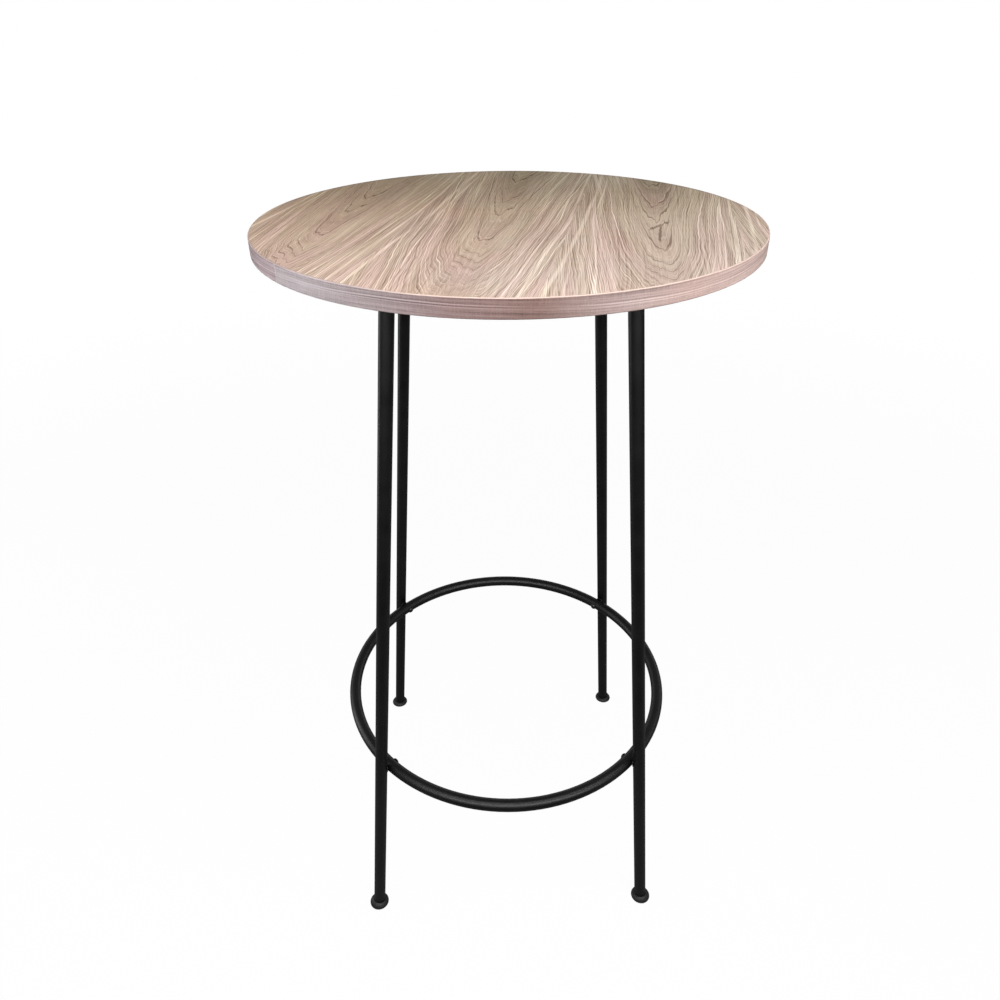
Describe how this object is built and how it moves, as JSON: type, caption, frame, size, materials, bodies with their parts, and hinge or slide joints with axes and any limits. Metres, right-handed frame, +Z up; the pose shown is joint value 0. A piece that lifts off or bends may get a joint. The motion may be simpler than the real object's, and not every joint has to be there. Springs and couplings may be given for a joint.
{
  "type": "bar table",
  "caption": "Tall round bar table with a walnut-look top on splayed black tube legs that are tied by a footrest ring.",
  "frame": {"origin": "on the floor, under the middle of the round top", "axes": "+Z up, -Y towards the front of the table, +X to the right of someone who looks at the front"},
  "size_m": [0.6, 0.6, 1.05],
  "materials": {
    "walnut_face": "matt walnut-look face, open straight and cathedral grain",
    "walnut_edge": "satin walnut-look edge strip, grain along the strip",
    "board": "raw particle board",
    "backing": "plain matt balancing sheet",
    "black_powder_coat": "satin black powder coat, fine orange peel",
    "black_bolt": "black-finished steel, satin",
    "zinc_steel": "bright zinc plate",
    "black_plastic": "moulded black polyethylene, matt"
  },
  "bodies": {
    "root": {"tabletop_core": "board", "tabletop_veneer": "walnut_face", "tabletop_backing": "backing", "edge_band": "walnut_edge", "footrest_ring": "black_powder_coat", "leg_front_left": "black_powder_coat", "leg_front_right": "black_powder_coat", "leg_back_right": "black_powder_coat", "leg_back_left": "black_powder_coat", "leg_plate_front_left": "black_powder_coat", "leg_plate_front_right": "black_powder_coat", "leg_plate_back_right": "black_powder_coat", "leg_plate_back_left": "black_powder_coat", "plate_screws_front_left": "zinc_steel", "plate_screws_front_right": "zinc_steel", "plate_screws_back_right": "zinc_steel", "plate_screws_back_left": "zinc_steel", "ring_bolt_front_left": "black_bolt", "ring_bolt_front_right": "black_bolt", "ring_bolt_back_right": "black_bolt", "ring_bolt_back_left": "black_bolt", "rivet_nut_front_left": "black_bolt", "rivet_nut_front_right": "black_bolt", "rivet_nut_back_right": "black_bolt", "rivet_nut_back_left": "black_bolt", "foot_glide_front_left": "black_plastic", "foot_glide_front_right": "black_plastic", "foot_glide_back_right": "black_plastic", "foot_glide_back_left": "black_plastic"}
  },
  "joints": []
}
